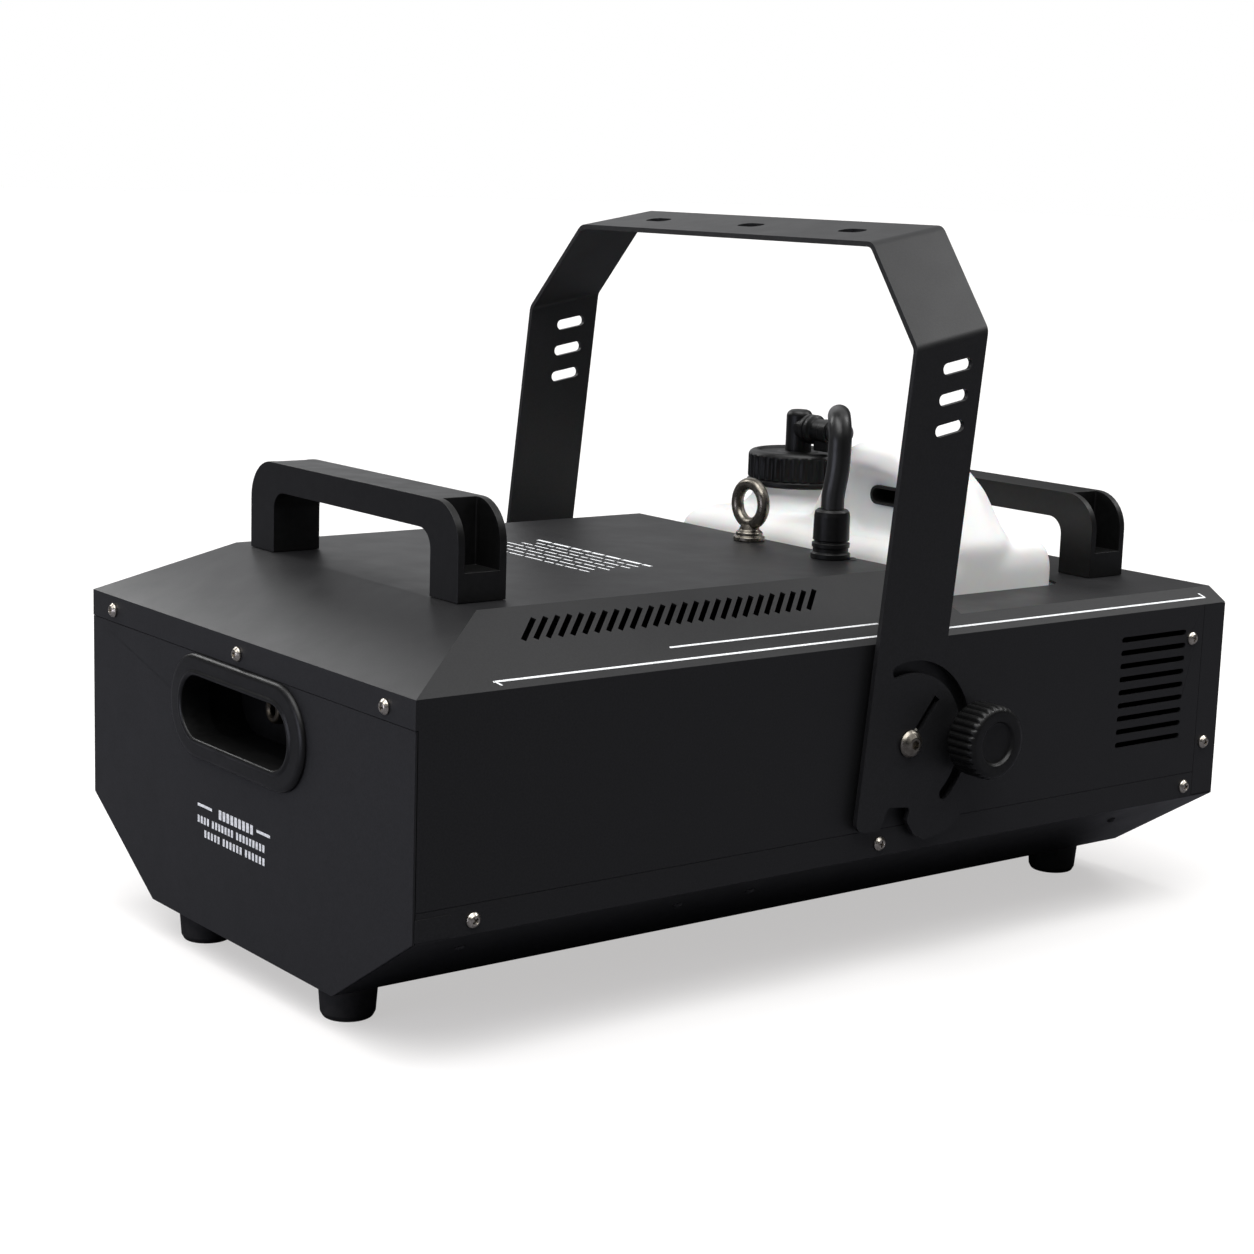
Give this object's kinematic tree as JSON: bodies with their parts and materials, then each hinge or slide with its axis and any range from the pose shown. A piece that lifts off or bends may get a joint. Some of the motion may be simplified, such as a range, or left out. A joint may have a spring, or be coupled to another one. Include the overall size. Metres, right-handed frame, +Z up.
{
  "type": "fog machine",
  "caption": "Folded sheet-metal fog machine with an oval nozzle opening, carry handles, a tilting hanging bracket with clamp knobs and a lift-out fluid tank.",
  "frame": {"origin": "on the floor under the feet, at the centre of the bounding box in X and Y", "axes": "+Z up, -Y out of the nozzle, X across the width"},
  "size_m": [0.426, 0.6186, 0.4275],
  "materials": {
    "powder_coat": "fine-grained black powder coat",
    "plastic": "black moulded plastic, semi-matt",
    "rubber": "black rubber",
    "nickel": "dark nickel plate",
    "brass": "turned brass",
    "aluminium": "as cast",
    "zinc": "zinc plate",
    "tank": "translucent white polyethylene",
    "nylon": "natural nylon",
    "board": "circuit board",
    "display": "smoked window"
  },
  "bodies": {
    "machine": {"bottom_pan": "powder_coat", "top_cover": "powder_coat", "front_panel": "powder_coat", "rear_panel": "powder_coat", "tank_well": "zinc", "nozzle_bezel": "plastic", "nozzle_shroud": "powder_coat", "nozzle": "brass", "heater_lower": "aluminium", "heater_upper": "aluminium", "heater_bracket_front": "zinc", "heater_bracket_rear": "zinc", "thermostat": "nylon", "pump": "zinc", "pump_bracket": "zinc", "intake_tube": "nylon", "outlet_tube": "brass", "hose_coupler": "plastic", "front_handle": "plastic", "rear_handle": "plastic", "eyebolt": "nickel", "pivot_bolt_left": "nickel", "pivot_bolt_right": "nickel", "pivot_bush_left": "nylon", "pivot_bush_right": "nylon", "clamp_stud_left": "nickel", "clamp_stud_right": "nickel", "foot_front_left": "rubber", "foot_front_right": "rubber", "foot_rear_left": "rubber", "foot_rear_right": "rubber", "power_board": "board", "control_board": "board", "mains_inlet": "plastic", "switch_frame": "plastic", "fuse_holder": "plastic", "dmx_in": "nickel", "dmx_out": "nickel", "display_panel": "display", "lip_screw_1": "nickel", "lip_screw_2": "nickel", "lip_screw_3": "nickel"},
    "hanging_bracket": {"bracket": "powder_coat"},
    "knob_left": {"clamp_knob_left": "plastic"},
    "knob_right": {"clamp_knob_right": "plastic"},
    "tank": {"fluid_tank": "tank", "tank_grip": "rubber", "cap_elbow": "plastic", "dip_tube": "nylon", "intake_filter": "nickel", "feed_hose": "rubber"},
    "cap": {"tank_cap": "plastic"},
    "rocker": {"switch_rocker": "plastic"},
    "fuse": {"fuse_cap": "plastic"},
    "button_1": {"menu_button_1": "plastic"},
    "button_2": {"menu_button_2": "plastic"},
    "button_3": {"menu_button_3": "plastic"},
    "button_4": {"menu_button_4": "plastic"}
  },
  "joints": [
    {"name": "bracket_tilt", "type": "hinge", "parent": "machine", "child": "hanging_bracket", "pos_m": [0, 0.026, 0.136], "axis": [1, 0, 0], "range_deg": [-42, 46]},
    {"name": "knob_left_turn", "type": "hinge", "parent": "machine", "child": "knob_left", "pos_m": [-0.2, 0.0705, 0.136], "axis": [-1, 0, 0], "range_deg": [0, 360]},
    {"name": "knob_right_turn", "type": "hinge", "parent": "machine", "child": "knob_right", "pos_m": [0.2, 0.0705, 0.136], "axis": [1, 0, 0], "range_deg": [0, 360]},
    {"name": "tank_lift", "type": "slide", "parent": "machine", "child": "tank", "axis": [0, 0, 1], "range_m": [0, 0.09]},
    {"name": "cap_unscrew", "type": "hinge", "parent": "tank", "child": "cap", "pos_m": [-0.0615, 0.1505, 0.25], "axis": [0, 0, 1], "range_deg": [0, 540]},
    {"name": "power_switch", "type": "hinge", "parent": "machine", "child": "rocker", "pos_m": [-0.062, 0.302, 0.118], "axis": [0, 0, 1], "range_deg": [0, 18]},
    {"name": "fuse_turn", "type": "hinge", "parent": "machine", "child": "fuse", "pos_m": [-0.112, 0.305, 0.158], "axis": [0, 1, 0], "range_deg": [0, 90]},
    {"name": "button_1_press", "type": "slide", "parent": "machine", "child": "button_1", "axis": [0, -1, 0], "range_m": [0, 0.0012], "stiffness_N_per_m": 400},
    {"name": "button_2_press", "type": "slide", "parent": "machine", "child": "button_2", "axis": [0, -1, 0], "range_m": [0, 0.0012], "stiffness_N_per_m": 400},
    {"name": "button_3_press", "type": "slide", "parent": "machine", "child": "button_3", "axis": [0, -1, 0], "range_m": [0, 0.0012], "stiffness_N_per_m": 400},
    {"name": "button_4_press", "type": "slide", "parent": "machine", "child": "button_4", "axis": [0, -1, 0], "range_m": [0, 0.0012], "stiffness_N_per_m": 400}
  ]
}
